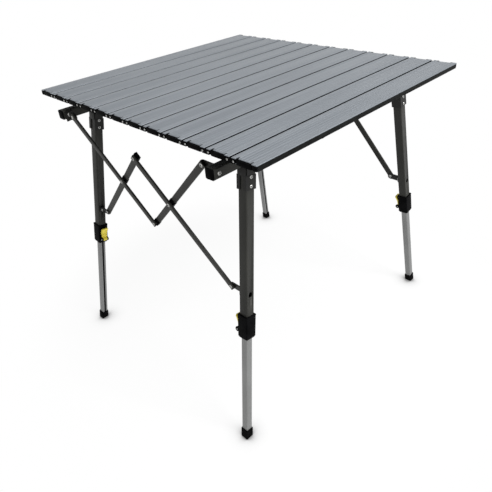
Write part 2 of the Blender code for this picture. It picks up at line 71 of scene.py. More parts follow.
# Slat decks
# Each slat is an aluminium extrusion, anodised grey-blue: a finely grooved deck with rounded long
# edges, side walls with lips turned in, and two stiffening ribs underneath.
SLAT_COUNT = 12
HUB_SLAT = 5
SLAT_GAP = 0.002
SLAT_WALL = 0.0014
SLAT_LIP = 0.007
SLAT_EDGE = 0.0010
EDGE_STRIP = 0.0017
EDGE_LAP = 0.0006
RIB_SPREAD = 0.010
GROOVE_COUNT = 7
GROOVE_HALF = 0.0008
GROOVE_DEPTH = 0.0006
TAB_INSET = 0.0005
NOTCH_WIDTH = 0.0032
NOTCH_DEPTH = 0.0042
SLOPE_RUN = 0.0024
SLOPE_DROP = 0.0010
LINK_THICK = 0.003
LINK_HEIGHT = 0.0086
LINK_NOTCH = 0.0013
FIT = 0.0003
SMOOTH_ANGLE = math.radians(32)
ANODISED_DARK = (0.144, 0.160, 0.179, 1)
ANODISED_LIGHT = (0.191, 0.209, 0.230, 1)
ANODISED_METAL = 0.45
ANODISED_ROUGH = 0.36
ANODISED_SPREAD = 0.16
ANODISED_BUMP = (0.12, 0.0004)
DRAWN_WAVES = (900, 5, 900)
DRAWN_SHARE = 0.35
STREAK_WAVES = (330, 2, 330)
STREAK_SHARE = 0.40
CLOUD_WAVES = (7, 4, 7)
CLOUD_SHARE = 0.25
TONE_SPAN = (0.3, 0.7)

joints = {joint["name"]: joint for joint in frame["joints"]}
slat_tags = [f"{number + 1:02d}" for number in range(SLAT_COUNT)]
top_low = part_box("slat_01")[0]
top_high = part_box(f"slat_{SLAT_COUNT:02d}")[1]
slat_pitch = (top_high.x - top_low.x + SLAT_GAP) / SLAT_COUNT
slat_width = slat_pitch - SLAT_GAP
deck_end = top_high.y - LINK_THICK - FIT


class Wire:
    """A socket in a finish: arithmetic on it adds Math nodes."""

    def __init__(self, finish, socket):
        self.finish = finish
        self.socket = socket

    def math(self, operation, first, second):
        return self.finish.node("Math", {0: first, 1: second}, operation=operation)

    def __add__(self, other):
        return self.math("ADD", self, other)

    def __sub__(self, other):
        return self.math("SUBTRACT", self, other)

    def __mul__(self, other):
        return self.math("MULTIPLY", self, other)

    def __radd__(self, other):
        return self.math("ADD", other, self)

    def __rsub__(self, other):
        return self.math("SUBTRACT", other, self)

    def __rmul__(self, other):
        return self.math("MULTIPLY", other, self)


class Finish:
    """The nodes of a material or of the world. One method adds any node and wires its sockets."""

    def __init__(self, owner, values, shader="Principled BSDF"):
        owner.use_nodes = True
        self.owner = owner
        self.tree = owner.node_tree
        self.shader = self.tree.nodes[shader]
        self.wire(self.shader, values)

    def node(self, kind, inputs, output=0, **settings):
        made = self.tree.nodes.new("ShaderNode" + kind)
        for name, value in settings.items():
            setattr(made, name, value)
        self.wire(made, inputs)
        return Wire(self, made.outputs[output])

    def show(self, surface):
        """Makes a shader the one that is seen."""
        target = next(node for node in self.tree.nodes if node.type.startswith("OUTPUT"))
        self.wire(target, {"Surface": surface})

    def wire(self, target, inputs):
        for socket, value in inputs.items():
            if isinstance(value, Wire):
                self.tree.links.new(value.socket, target.inputs[socket])
            else:
                target.inputs[socket].default_value = value

    def noise(self, waves, detail=3.0):
        """Noise in the table's own metres, with so many waves to a metre along each axis."""
        place = self.node("TexCoord", {}, output="Object")
        scaled = self.node("VectorMath", {0: place, 1: waves}, operation="MULTIPLY")
        return self.node("TexNoise", {"Vector": scaled, "Scale": 1.0, "Detail": detail})

    def ease(self, value, low, high):
        """0 below low, 1 above high, and smooth between them."""
        span = {"Value": value, "From Min": low, "From Max": high}
        return self.node("MapRange", span, interpolation_type="SMOOTHSTEP")

    def mix(self, factor, first, second):
        """One colour fading into another."""
        return self.node("Mix", {0: factor, 6: first, 7: second}, output=2, data_type="RGBA")

    def dress(self, colour, roughness, relief, strength, distance):
        """Links what varies over the surface to the shader."""
        bump = self.node("Bump", {"Height": relief, "Strength": strength, "Distance": distance})
        self.wire(self.shader, {"Base Color": colour, "Roughness": roughness, "Normal": bump})
        return self.owner


def anodised_finish():
    """Satin anodising: drawn lines along the slat, and a slow change of tone over the top."""
    finish = Finish(bpy.data.materials.new("anodised_slat"), {"Metallic": ANODISED_METAL})
    drawn = finish.noise(DRAWN_WAVES)
    streaks = finish.noise(STREAK_WAVES, detail=2.0)
    cloudy = finish.noise(CLOUD_WAVES, detail=1.0)
    tone = drawn * DRAWN_SHARE + streaks * STREAK_SHARE + cloudy * CLOUD_SHARE
    colour = finish.mix(finish.ease(tone, *TONE_SPAN), ANODISED_DARK, ANODISED_LIGHT)
    roughness = drawn * ANODISED_SPREAD + ANODISED_ROUGH
    return finish.dress(colour, roughness, drawn, *ANODISED_BUMP)


def mesh_of(shape):
    """A bmesh as a mesh, its faces turned outward and its gentle edges shaded smooth."""
    bmesh.ops.recalc_face_normals(shape, faces=shape.faces)
    mesh = bpy.data.meshes.new("shape")
    shape.to_mesh(mesh)
    shape.free()
    mesh.shade_smooth()
    mesh.set_sharp_from_angle(angle=SMOOTH_ANGLE)
    return mesh


def loft(rings, closed=False):
    """Rings of equally many points joined in turn: with end faces, or closed into a sleeve."""
    shape = bmesh.new()
    rows = [[shape.verts.new(point) for point in ring] for ring in rings]
    pairs = list(zip(rows, rows[1:]))
    if closed:
        pairs.append((rows[-1], rows[0]))
    else:
        shape.faces.new(rows[0])
        shape.faces.new(rows[-1])
    for ring, after in pairs:
        for place in range(len(ring)):
            shape.faces.new((ring[place - 1], ring[place], after[place], after[place - 1]))
    return mesh_of(shape)


def arc(centre, radius, start, end, steps=4):
    """Points on an arc, from one angle to another, in degrees."""
    angles = [math.radians(start + (end - start) * step / steps) for step in range(steps + 1)]
    return [(centre[0] + radius * math.cos(a), centre[1] + radius * math.sin(a)) for a in angles]


def slat_left(number):
    """The left edge of a slat, counted from 0."""
    return top_low.x + number * slat_pitch


pin_inset = joints["slat_roll_07"]["pos_m"][0] - slat_left(HUB_SLAT + 1)


def deck_span(number):
    """The two long edges of a slat's extrusion, inside the black strips along it."""
    left = slat_left(number)
    first = EDGE_LAP if number == 0 else EDGE_STRIP
    last = EDGE_LAP if number == SLAT_COUNT - 1 else EDGE_STRIP
    return left + first, left + slat_width - last


def cover_span(number):
    """Where the cover on a slat's end starts and stops, beside the chain links."""
    left = slat_left(number)
    beside = pin_inset + LINK_HEIGHT / 2 + LINK_NOTCH
    return left + beside, left + slat_width - beside


def ear_spans(number):
    """The two stretches along a slat's end where its cap's ears come up through the deck."""
    first, last = cover_span(number)
    return (first, first + NOTCH_WIDTH), (last - NOTCH_WIDTH, last)


def deck_profile(left, right):
    """A slat's section, from its lower left lip over the grooved deck and back underneath."""
    low, top = top_low.z, top_high.z
    inside, lip = top - SLAT_WALL, low + SLAT_WALL
    points = [(left, low)]
    points += arc((left + SLAT_EDGE, top - SLAT_EDGE), SLAT_EDGE, 180, 90)
    for groove in range(GROOVE_COUNT):
        middle = left + (right - left) * (groove + 1) / (GROOVE_COUNT + 1)
        bottom = (middle, top - GROOVE_DEPTH)
        points += [(middle - GROOVE_HALF, top), bottom, (middle + GROOVE_HALF, top)]
    points += arc((right - SLAT_EDGE, top - SLAT_EDGE), SLAT_EDGE, 90, 0)
    points += [(right, low), (right - SLAT_LIP, low), (right - SLAT_LIP, lip)]
    points += [(right - SLAT_WALL, lip), (right - SLAT_WALL, inside)]
    for side in (1, -1):
        rib = (left + right) / 2 + side * RIB_SPREAD
        near, far = rib + SLAT_WALL / 2, rib - SLAT_WALL / 2
        points += [(near, inside), (near, lip), (far, lip), (far, inside)]
    points += [(left + SLAT_WALL, inside), (left + SLAT_WALL, lip)]
    points += [(left + SLAT_LIP, lip), (left + SLAT_LIP, low)]
    return points


def extrusion(profile, reach):
    """A bar along Y, as far to the front as to the back, with one outline of (x, z) pairs."""
    return loft([[(x, y, z) for x, z in profile] for y in (-reach, reach)])


def prism(outline, first, last):
    """A bar along X with one outline of (y, z) pairs."""
    return loft([[(x, y, z) for y, z in outline] for x in (first, last)])


def joined(meshes):
    """Several meshes as one."""
    shape = bmesh.new()
    for mesh in meshes:
        shape.from_mesh(mesh)
        bpy.data.meshes.remove(mesh)
    return mesh_of(shape)


def cut(mesh, *tools):
    """A mesh with other meshes cut out of it."""
    base = bpy.data.objects.new("base", mesh)
    bpy.context.collection.objects.link(base)
    helpers = [base]
    for shape in tools:
        tool = bpy.data.objects.new("tool", shape)
        bpy.context.collection.objects.link(tool)
        step = base.modifiers.new("step", "BOOLEAN")
        step.operation = "DIFFERENCE"
        step.object = tool
        helpers.append(tool)
    graph = bpy.context.evaluated_depsgraph_get()
    result = bpy.data.meshes.new_from_object(base.evaluated_get(graph))
    for helper in helpers:
        bpy.data.objects.remove(helper)
    return result


def piece(name, mesh, material, body, slot, *stands_for):
    """Puts a mesh in the scene as a named piece that moves with a body."""
    made = bpy.data.objects.new(name, mesh)
    bpy.context.collection.objects.link(made)
    mesh.materials.append(material)
    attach(made, body)
    if stands_for:
        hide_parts(*stands_for)


def end_cuts(number, end):
    """What is milled off a slat's end: under the tabs, a slope over the cover, and two notches."""
    left, right = deck_span(number)
    inside, above, below = top_high.z - SLAT_WALL, top_high.z + SLAT_WALL, top_low.z - SLAT_WALL
    far, face = end * (top_high.y + SLAT_WALL), end * deck_end
    under = [(face, below), (far, below), (far, inside), (face, inside)]
    shapes = [prism(under, left - SLAT_WALL, right + SLAT_WALL)]
    back = end * (deck_end - SLOPE_RUN - SLAT_WALL * SLOPE_RUN / SLOPE_DROP)
    deep = inside - SLAT_WALL
    slope = [(back, above), (face, top_high.z - SLOPE_DROP)]
    slope += [(face, deep), (far, deep), (far, above)]
    first, last = cover_span(number)
    shapes.append(prism(slope, first + NOTCH_WIDTH / 2, last - NOTCH_WIDTH / 2))
    near = end * (deck_end - NOTCH_DEPTH)
    notch = [(near, deep), (far, deep), (far, above), (near, above)]
    return shapes + [prism(notch, *span) for span in ear_spans(number)]


anodised = anodised_finish()
for number, tag in enumerate(slat_tags):
    body = f"slat_{tag}"
    blank = extrusion(deck_profile(*deck_span(number)), top_high.y - TAB_INSET)
    deck = cut(blank, *end_cuts(number, -1), *end_cuts(number, 1))
    piece(f"deck_{tag}", joined([deck]), anodised, body, "slat", body)


# Edge strips
# The two long edges of the top are closed by a black plastic strip, extruded with a shallow groove
# along it and pressed onto the outer slat's wall. Thin black lips line the walls between the slats
# as painted shade: they darken the gaps where there is only shade.
SIDES = {"left": -1, "right": 1}
STRIP_ROUND = 0.0004
STRIP_GROOVE = 0.0016
STRIP_GROOVE_DEPTH = 0.0003
STRIP_DROP = 0.0016
STRIP_DARK = (0.0030, 0.0033, 0.0032, 1)
STRIP_LIGHT = (0.0065, 0.0070, 0.0068, 1)
STRIP_GLOSS = 0.035
STRIP_ROUGH = 0.40
SHADE_LIP_THICK = 0.0004
SHADE_LIP_DROP = 0.0012
SHADE_LEDGE_DROP = 0.0036
SHADE_LIP_EDGE = 0.0001
BEVEL_STEPS = 2
BEVEL_PROFILE = 0.6
MOULDED_DARK = (0.0012, 0.0012, 0.0014, 1)
MOULDED_LIGHT = (0.0034, 0.0034, 0.0038, 1)
MOULDED_GLOSS = 0.012
MOULDED_ROUGH = 0.42
MOULDED_SPREAD = 0.16
MOULDED_BUMP = (0.25, 0.0002)
GRAIN_WAVES = (2600, 2600, 2600)
PATCH_WAVES = (60, 60, 60)
PATCH_SPAN = (0.35, 0.65)


def moulded_finish(name, dark, light, rough, gloss):
    """Moulded plastic or rubber with a fine spark-eroded grain."""
    finish = Finish(bpy.data.materials.new(name), {"Specular IOR Level": gloss})
    grain = finish.noise(GRAIN_WAVES, detail=2.0)
    patch = finish.noise(PATCH_WAVES)
    colour = finish.mix(finish.ease(patch, *PATCH_SPAN), dark, light)
    return finish.dress(colour, patch * MOULDED_SPREAD + rough, grain, *MOULDED_BUMP)


def soften(shape, edges, radius):
    """Rounds edges of a bmesh."""
    settings = {"segments": BEVEL_STEPS, "profile": BEVEL_PROFILE, "affect": "EDGES"}
    bmesh.ops.bevel(shape, geom=edges, offset=radius, **settings)


def slab(low, high, edge):
    """A box between two corners with rounded edges."""
    shape = bmesh.new()
    bmesh.ops.create_cube(shape, size=1.0)
    low, high = Vector(map(min, low, high)), Vector(map(max, low, high))
    size = high - low
    matrix = Matrix.Translation((low + high) / 2) @ Matrix.Diagonal((*size, 1))
    bmesh.ops.transform(shape, matrix=matrix, verts=shape.verts)
    soften(shape, shape.edges, edge)
    return mesh_of(shape)


moulded = moulded_finish("moulded_black", MOULDED_DARK, MOULDED_LIGHT, MOULDED_ROUGH, MOULDED_GLOSS)
strip_black = moulded_finish("moulded_strip", STRIP_DARK, STRIP_LIGHT, STRIP_ROUGH, STRIP_GLOSS)
middle = (top_low.z + top_high.z) / 2
for side_name, side in SIDES.items():
    outer = top_high.x if side == 1 else top_low.x
    low, high = top_low.z, top_high.z - STRIP_DROP
    section = [(EDGE_LAP, low), (STRIP_ROUND, low), (0, low + STRIP_ROUND)]
    section += [(0, middle - STRIP_GROOVE), (STRIP_GROOVE_DEPTH, middle)]
    section += [(0, middle + STRIP_GROOVE), (0, high - STRIP_ROUND)]
    section += [(STRIP_ROUND, high), (EDGE_LAP, high)]
    strip = extrusion([(outer - side * depth, z) for depth, z in section], deck_end)
    body = f"slat_{slat_tags[-1 if side == 1 else 0]}"
    piece(f"edge_strip_{side_name}", strip, strip_black, body, "black")
for number, tag in enumerate(slat_tags):
    left, right = deck_span(number)
    lips = []
    # Painted shade: each wall that faces a neighbour gets a thin black lip and a black ledge that
    # darken the gap.
    for beside, wall in ((-1, left), (1, right)):
        if 0 <= number + beside < SLAT_COUNT:
            for thick, drop in ((SHADE_LIP_THICK, SHADE_LIP_DROP), (EDGE_STRIP, SHADE_LEDGE_DROP)):
                low = (wall, -deck_end, middle)
                high = (wall + beside * thick, deck_end, top_high.z - drop)
                lips.append(slab(low, high, SHADE_LIP_EDGE))
    piece(f"gap_shade_lips_{tag}", joined(lips), moulded, f"slat_{tag}", "black")


# Slat end caps
# A black moulded cap is pushed into each end of a slat, inside the extrusion's walls. It carries a
# raised cover between the chain links, with two ears that come up through the deck's notches, and
# on the outer slats a block in the place of a link.
ENDS = {"front": -1, "back": 1}
CAP_DEPTH = 0.008
CAP_PROUD = 0.0002
CAP_RISE = 0.0026
CAP_EDGE = 0.0007
COVER_DROP = 0.0020
COVER_ROUND = 0.0015
EAR_ROOT = 0.0040
EAR_DROP = 0.0002

for number, tag in enumerate(slat_tags):
    left, right = deck_span(number)
    first, last = cover_span(number)
    blocks = [(first, last)]
    if number == 0:
        blocks.append((left, first - LINK_NOTCH))
    if number == SLAT_COUNT - 1:
        blocks.append((last + LINK_NOTCH, right))
    parts = []
    for end in ENDS.values():
        face = end * (deck_end + CAP_PROUD)
        outer = end * top_high.y
        plug_low = (left + SLAT_WALL, end * (deck_end - CAP_DEPTH), top_low.z + CAP_RISE)
        plug_high = (right - SLAT_WALL, face, top_high.z - SLAT_WALL)
        parts.append(slab(plug_low, plug_high, CAP_EDGE))
        for low, high in blocks:
            block_low = (low, face - end * CAP_EDGE, top_low.z)
            block_high = (high, outer, top_high.z - COVER_DROP)
            parts.append(slab(block_low, block_high, COVER_ROUND))
        for low, high in ear_spans(number):
            ear_low = (low + FIT, end * (deck_end - NOTCH_DEPTH + FIT), top_high.z - EAR_ROOT)
            ear_high = (high - FIT, outer, top_high.z - EAR_DROP)
            parts.append(slab(ear_low, ear_high, FIT))
    piece(f"end_caps_{tag}", joined(parts), moulded, f"slat_{tag}", "black")


# Chain links
# Two neighbouring slats are held by a black link plate at each end. It turns on two rivets, whose
# bright heads show in pairs along the edge of the top.
LINK_EDGE = 0.0007
RIVET_RADIUS = 0.0019
RIVET_HEIGHT = 0.0010
RIVET_SHAPE = ((1, -0.5), (1, 0.3), (0.82, 0.8), (0.58, 1), (0.44, 0.9), (0.40, -0.4))
RIVET_BRIGHT = (0.48, 0.48, 0.465, 1)
RIVET_DULL = (0.28, 0.28, 0.27, 1)
RIVET_METAL = 0.75
RIVET_ROUGH = 0.25
RIVET_SPREAD = 0.2
RIVET_BUMP = (0.1, 0.0002)
RIVET_WAVES = (500, 500, 500)


def rivet_finish():
    """Zinc-plated steel, slightly dulled."""
    finish = Finish(bpy.data.materials.new("plated_rivet"), {"Metallic": RIVET_METAL})
    patch = finish.noise(RIVET_WAVES)
    colour = finish.mix(finish.ease(patch, *PATCH_SPAN), RIVET_DULL, RIVET_BRIGHT)
    return finish.dress(colour, patch * RIVET_SPREAD + RIVET_ROUGH, patch, *RIVET_BUMP)


def facing(point, direction):
    """Axes at a point with Z along a direction."""
    turn = Vector(direction).to_track_quat("Z", "Y").to_matrix().to_4x4()
    return Matrix.Translation(point) @ turn


def circle(radius, steps, squash=1.0):
    """Points round a circle, or round an oval where it is squashed."""
    turns = [2 * math.pi * step / steps for step in range(steps)]
    return [(radius * math.cos(a), squash * radius * math.sin(a)) for a in turns]


def turned(shape, radius, height, matrix, steps=16):
    """A round solid from its base rim to its middle, in shares of a radius and a height."""
    rings = []
    for wide, tall in shape:
        rings.append([(u, v, height * tall) for u, v in circle(radius * wide, steps)])
    mesh = loft(rings)
    mesh.transform(matrix)
    return mesh


def rivet(point, direction, radius=RIVET_RADIUS, height=RIVET_HEIGHT):
    """A pop rivet's domed head with the hollow that its mandrel leaves."""
    return turned(RIVET_SHAPE, radius, height, facing(point, direction))


def stadium(low, high, radius):
    """A plate's outline with two round ends, along its first value."""
    return arc((high, 0), radius, -90, 90, steps=8) + arc((low, 0), radius, 90, 270, steps=8)


def plate(outline, thick, edge):
    """A flat plate from an outline, with its upper rim rounded."""
    shape = bmesh.new()
    face = shape.faces.new([shape.verts.new((u, v, 0)) for u, v in outline])
    raised = bmesh.ops.extrude_face_region(shape, geom=[face])["geom"]
    moved = [item for item in raised if isinstance(item, bmesh.types.BMVert)]
    upper = [item for item in raised if isinstance(item, bmesh.types.BMFace)]
    bmesh.ops.translate(shape, verts=moved, vec=(0, 0, thick))
    soften(shape, list(upper[0].edges), edge)
    return mesh_of(shape)


plated = rivet_finish()
pin_height = joints["slat_roll_07"]["pos_m"][2]
for number, tag in enumerate(slat_tags[:-1]):
    carrier = f"slat_{slat_tags[number if number >= HUB_SLAT else number + 1]}"
    near = slat_left(number) + slat_width - pin_inset
    far = slat_left(number + 1) + pin_inset
    plates, heads = [], []
    for end in ENDS.values():
        link = plate(stadium(near, far, LINK_HEIGHT / 2), LINK_THICK, LINK_EDGE)
        stand = Matrix.Translation((0, end * (top_high.y - LINK_THICK), pin_height))
        upright = Matrix(((1, 0, 0, 0), (0, 0, end, 0), (0, 1, 0, 0), (0, 0, 0, 1)))
        link.transform(stand @ upright)
        plates.append(link)
        for pin in (near, far):
            heads.append(rivet((pin, end * top_high.y, pin_height), (0, end, 0)))
    piece(f"links_{tag}", joined(plates), moulded, carrier, "black")
    piece(f"link_rivets_{tag}", joined(heads), plated, carrier, "silver")


# Seats
# Black moulded blocks under the two slats over the beams, on which the top rests. They are hidden
# in the photograph, and fill the height between the slats and the beams.
SEAT_SPAN = 0.050
SEAT_PLACE = 0.200
SEAT_MARGIN = 0.0010
SEAT_EDGE = 0.0012

cap_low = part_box("beam_cap_right_front")[0]
cap_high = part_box("beam_cap_right_back")[1]
beam_size = cap_high.z - cap_low.z
beam_x = (cap_low.x + cap_high.x) / 2
beam_z = (cap_low.z + cap_high.z) / 2
beam_top = beam_z + beam_size / 2
for side_name, side in SIDES.items():
    number = int((side * beam_x - top_low.x) // slat_pitch)
    left = slat_left(number) + SEAT_MARGIN
    right = slat_left(number) + slat_width - SEAT_MARGIN
    first = max(side * beam_x - beam_size / 2, left)
    last = min(side * beam_x + beam_size / 2, right)
    blocks = []
    for place in (-SEAT_PLACE, SEAT_PLACE):
        low = (first, place - SEAT_SPAN / 2, beam_top + FIT)
        high = (last, place + SEAT_SPAN / 2, top_high.z - SLAT_WALL)
        blocks.append(slab(low, high, SEAT_EDGE))
    piece(f"seats_{side_name}", joined(blocks), moulded, f"slat_{slat_tags[number]}", "black")


# Beams
# Two square steel tubes, powder-coated charcoal, run under the slats. Each carries a rounded tongue
# for either leg, and a black plug closes each end.
TUBE_CORNER = 0.0022
BEAM_WALL = 0.0012
BOLT_HOLE = 0.0033
TONGUE_RADIUS = 0.0085
LEG_SIZE = 0.021
PIVOT_RADIUS = 0.003
CAP_PLUG = 0.005
CAP_LIP = 0.0025
CAP_ROUND = 0.0012
CHARCOAL_DARK = (0.0185, 0.0185, 0.0165, 1)
CHARCOAL_LIGHT = (0.0310, 0.0310, 0.0275, 1)
CHARCOAL_ROUGH = 0.40
COATED_METAL = 0.25
COATED_GLOSS = 0.17
COATED_SPREAD = 0.14
COATED_BUMP = (0.16, 0.0003)
PEEL_WAVES = (1500, 1500, 1500)
PEEL_SHARE = 0.3
COAT_WAVES = (14, 14, 5)
COAT_SHARE = 0.7

corners = {f"{side}_{end}": (SIDES[side], ENDS[end]) for side in SIDES for end in ENDS}
beam_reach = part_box("beam_right")[1].y
bolt_y = abs(joints["beam_swivel_turn_right_front"]["pos_m"][1])


def coated_finish(name, dark, light, rough):
    """Satin powder coat: a fine orange peel, and slow changes of tone along the tube."""
    values = {"Metallic": COATED_METAL, "Specular IOR Level": COATED_GLOSS}
    finish = Finish(bpy.data.materials.new(name), values)
    peel = finish.noise(PEEL_WAVES, detail=2.0)
    cloudy = finish.noise(COAT_WAVES)
    tone = cloudy * COAT_SHARE + peel * PEEL_SHARE
    colour = finish.mix(finish.ease(tone, *PATCH_SPAN), dark, light)
    return finish.dress(colour, cloudy * COATED_SPREAD + rough, peel, *COATED_BUMP)


def rounded(half_u, half_v, radius):
    """A rectangle's outline with round corners."""
    points = []
    for u, v, start in ((1, 1, 0), (-1, 1, 90), (-1, -1, 180), (1, -1, 270)):
        centre = (u * (half_u - radius), v * (half_v - radius))
        points += arc(centre, radius, start, start + 90)
    return points


def tube(half_u, half_v, wall, low, high, matrix, corner=TUBE_CORNER):
    """A hollow tube with round corners, along Z of its own axes."""
    rings = []
    for shrink, height in ((0, low), (0, high), (wall, high), (wall, low)):
        outline = rounded(half_u - shrink, half_v - shrink, max(corner - shrink, wall / 2))
        rings.append([(u, v, height) for u, v in outline])
    mesh = loft(rings, closed=True)
    mesh.transform(matrix)
    return mesh


def post(outline, low, high, matrix=Matrix.Identity(4)):
    """A bar with one outline, along Z of its own axes."""
    mesh = loft([[(u, v, height) for u, v in outline] for height in (low, high)])
    mesh.transform(matrix)
    return mesh


def rod(radius, low, high, matrix=Matrix.Identity(4), squash=1.0, steps=20):
    """A round or oval bar along Z of its own axes."""
    return post(circle(radius, steps, squash), low, high, matrix)


def tongue(corner):
    """The rounded knuckle under a beam that a leg's bracket turns on."""
    swing = joints[f"leg_swing_{corner}"]
    along = Vector((0, 1, 0))
    across = Vector(swing["axis"]) * -corners[corner][1]
    axes = Matrix((along, across.cross(along), across)).transposed().to_4x4()
    axes.translation = swing["pos_m"]
    rise = (beam_z - beam_size / 2 - swing["pos_m"][2]) + BEAM_WALL
    half = LEG_SIZE / 2 - FIT
    outline = [(TONGUE_RADIUS, rise), (-TONGUE_RADIUS, rise)]
    outline += arc((0, 0), TONGUE_RADIUS, 180, 360, steps=10)
    hole = rod(PIVOT_RADIUS + FIT, -LEG_SIZE, LEG_SIZE, axes)
    return cut(post(outline, -half, half, axes), hole)


def end_plug(side, end):
    """The plug in a beam's end: a stem inside the tube, and a lip with a rounded rim."""
    half = beam_size / 2
    stem = half - BEAM_WALL - FIT
    stations = (
        (stem, -CAP_PLUG),
        (stem, 0.0),
        (half, 0.0),
        (half, CAP_LIP - CAP_ROUND),
        (half - CAP_ROUND / 3, CAP_LIP - CAP_ROUND / 3),
        (half - CAP_ROUND, CAP_LIP),
    )
    rings = []
    for size, reach in stations:
        level = end * (beam_reach + FIT + reach)
        outline = rounded(size, size, TUBE_CORNER)
        rings.append([(side * beam_x + u, level, beam_z + v) for u, v in outline])
    return loft(rings)


coated = coated_finish("coated_charcoal", CHARCOAL_DARK, CHARCOAL_LIGHT, CHARCOAL_ROUGH)
along_beam = Matrix(((1, 0, 0, 0), (0, 0, 1, 0), (0, 1, 0, 0), (0, 0, 0, 1)))
for side_name, side in SIDES.items():
    body = f"{side_name}_beam"
    place = Matrix.Translation((side * beam_x, 0, beam_z)) @ along_beam
    rail = tube(beam_size / 2, beam_size / 2, BEAM_WALL, -beam_reach, beam_reach, place)
    holes = []
    for end in ENDS.values():
        spot = facing((side * beam_x, end * bolt_y, beam_z), (1, 0, 0))
        holes.append(rod(BOLT_HOLE, -beam_size, beam_size, spot))
    parts = [cut(rail, *holes)]
    parts += [tongue(f"{side_name}_{end_name}") for end_name in ENDS]
    node = f"beam_{side_name}"
    piece(f"rail_{side_name}", joined(parts), coated, body, "charcoal", node)
    for end_name, end in ENDS.items():
        corner = f"{side_name}_{end_name}"
        plug = end_plug(side, end)
        piece(f"end_plug_{corner}", plug, moulded, body, "black", f"beam_cap_{corner}")


# Leg brackets
# A pressed steel channel is riveted round the head of each leg and turns on a pin through the
# beam's tongue. Its web faces the middle of the table, and short flanges fold onto the outer face.
BRACKET_PLATE = 0.0016
BRACKET_END = 0.039
BRACKET_EAR = 0.008
BRACKET_FOLD = 0.0065
BRACKET_RISE = 0.0025
BRACKET_EDGE = 0.0004
LEG_HEAD = 0.010
BRACKET_RIVETS = (0.0153, 0.0324)
BRACKET_RIVET_RADIUS = 0.0034
BRACKET_RIVET_HEIGHT = 0.0014
PRESSED_DARK = (0.0100, 0.0100, 0.0096, 1)
PRESSED_LIGHT = (0.0200, 0.0200, 0.0190, 1)
PRESSED_ROUGH = 0.36


def leg_axes(corner):
    """A leg's own axes: its origin on the pivot, X along the pivot, Z up the leg."""
    swing = joints[f"leg_swing_{corner}"]
    across = Vector(swing["axis"]) * -corners[corner][1]
    upward = Vector(joints[f"leg_slide_{corner}"]["axis"])
    onward = upward.cross(across)
    axes = Matrix((across, onward, upward)).transposed().to_4x4()
    axes.translation = swing["pos_m"]
    return axes


def bracket(end):
    """The channel, its rounded ears and the pin, in the leg's own axes."""
    half, inner = LEG_SIZE / 2, LEG_SIZE / 2 + FIT
    outer = inner + BRACKET_PLATE
    web = -end
    fold = inner - BRACKET_FOLD
    front = -web * (half + FIT)
    lip = front - web * BRACKET_PLATE
    outline = [
        (-fold, lip), (-outer, lip), (-outer, web * outer), (outer, web * outer),
        (outer, lip), (fold, lip), (fold, front), (inner, front),
        (inner, web * inner), (-inner, web * inner), (-inner, front), (-fold, front),
    ]
    high = -LEG_HEAD - BRACKET_PLATE
    root = high - BRACKET_PLATE
    ear = [(half, root), (half, 0), *arc((0, 0), BRACKET_EAR, 20, 160, steps=8)]
    ear += [(-half, 0), (-half, root)]
    parts = [post(outline, -BRACKET_END, high)]
    parts += [prism(ear, *sorted((out * inner, out * outer))) for out in (-1, 1)]
    parts.append(slab((-inner, front, root), (inner, lip, BRACKET_RISE), BRACKET_EDGE))
    parts.append(rod(PIVOT_RADIUS, -inner, inner, facing((0, 0, 0), (1, 0, 0))))
    return joined(parts)


pressed = coated_finish("coated_bracket", PRESSED_DARK, PRESSED_LIGHT, PRESSED_ROUGH)
bracket_face = LEG_SIZE / 2 + FIT + BRACKET_PLATE
for corner, (_, end) in corners.items():
    body = f"leg_{corner}"
    axes = leg_axes(corner)
    channel = bracket(end)
    channel.transform(axes)
    piece(f"bracket_{corner}", channel, pressed, body, "steel", f"leg_bracket_{corner}")
    heads = []
    for height in BRACKET_RIVETS:
        for out in (-1, 1):
            point = (out * bracket_face, 0, -height)
            heads.append(rivet(point, (out, 0, 0), BRACKET_RIVET_RADIUS, BRACKET_RIVET_HEIGHT))
    rivets = joined(heads)
    rivets.transform(axes)
    piece(f"bracket_rivets_{corner}", rivets, plated, body, "silver")


# Upper legs
# Charcoal square tubes with soft corners. The swivel's bolt goes through the inner wall, and an
# oval hole in the outer wall lets a driver reach it.
UPPER_END = 0.340
LEG_WALL = 0.0012
BOLT_DROP = 0.254
ACCESS_RADIUS = 0.0050
ACCESS_SQUASH = 1.15

for corner, (side, _) in corners.items():
    axes = leg_axes(corner)
    leg = tube(LEG_SIZE / 2, LEG_SIZE / 2, LEG_WALL, -UPPER_END, -LEG_HEAD, axes)
    across = axes @ facing((0, 0, -BOLT_DROP), (1, 0, 0))
    inner_wall, outer_wall = sorted((0, -side * LEG_SIZE)), sorted((0, side * LEG_SIZE))
    bolt_hole = rod(BOLT_HOLE, *inner_wall, across)
    access = rod(ACCESS_RADIUS, *outer_wall, across, squash=ACCESS_SQUASH)
    leg = cut(leg, bolt_hole, access)
    piece(f"leg_tube_{corner}", leg, coated, f"leg_{corner}", "charcoal", f"upper_leg_{corner}")


# Lock collars
# A black nylon sleeve is pressed on the end of each upper leg and guides the lower one. Its mouth
# flares, its foot is chamfered, and two lugs on its inner face hold the lever's pin.
COLLAR_TOP = 0.302
COLLAR_END = 0.357
COLLAR_SIZE = 0.0265
COLLAR_FLARE = 0.0008
COLLAR_CHAMFER = 0.004
COLLAR_CORNER = 0.0026
COLLAR_RIM = 0.0016
LOWER_SIZE = 0.016
LOWER_CORNER = 0.0016
LEVER_PIVOT = 0.343
LEVER_BASE = 0.012
LEVER_PIN = 0.0015
LUG_THICK = 0.0028
LUG_RADIUS = 0.0056
LUG_EDGE = 0.0005

pin_out = COLLAR_SIZE / 2 + LUG_RADIUS


def rounded_ring(half, corner, height):
    """A square ring with round corners at one height."""
    return [(u, v, height) for u, v in rounded(half, half, corner)]


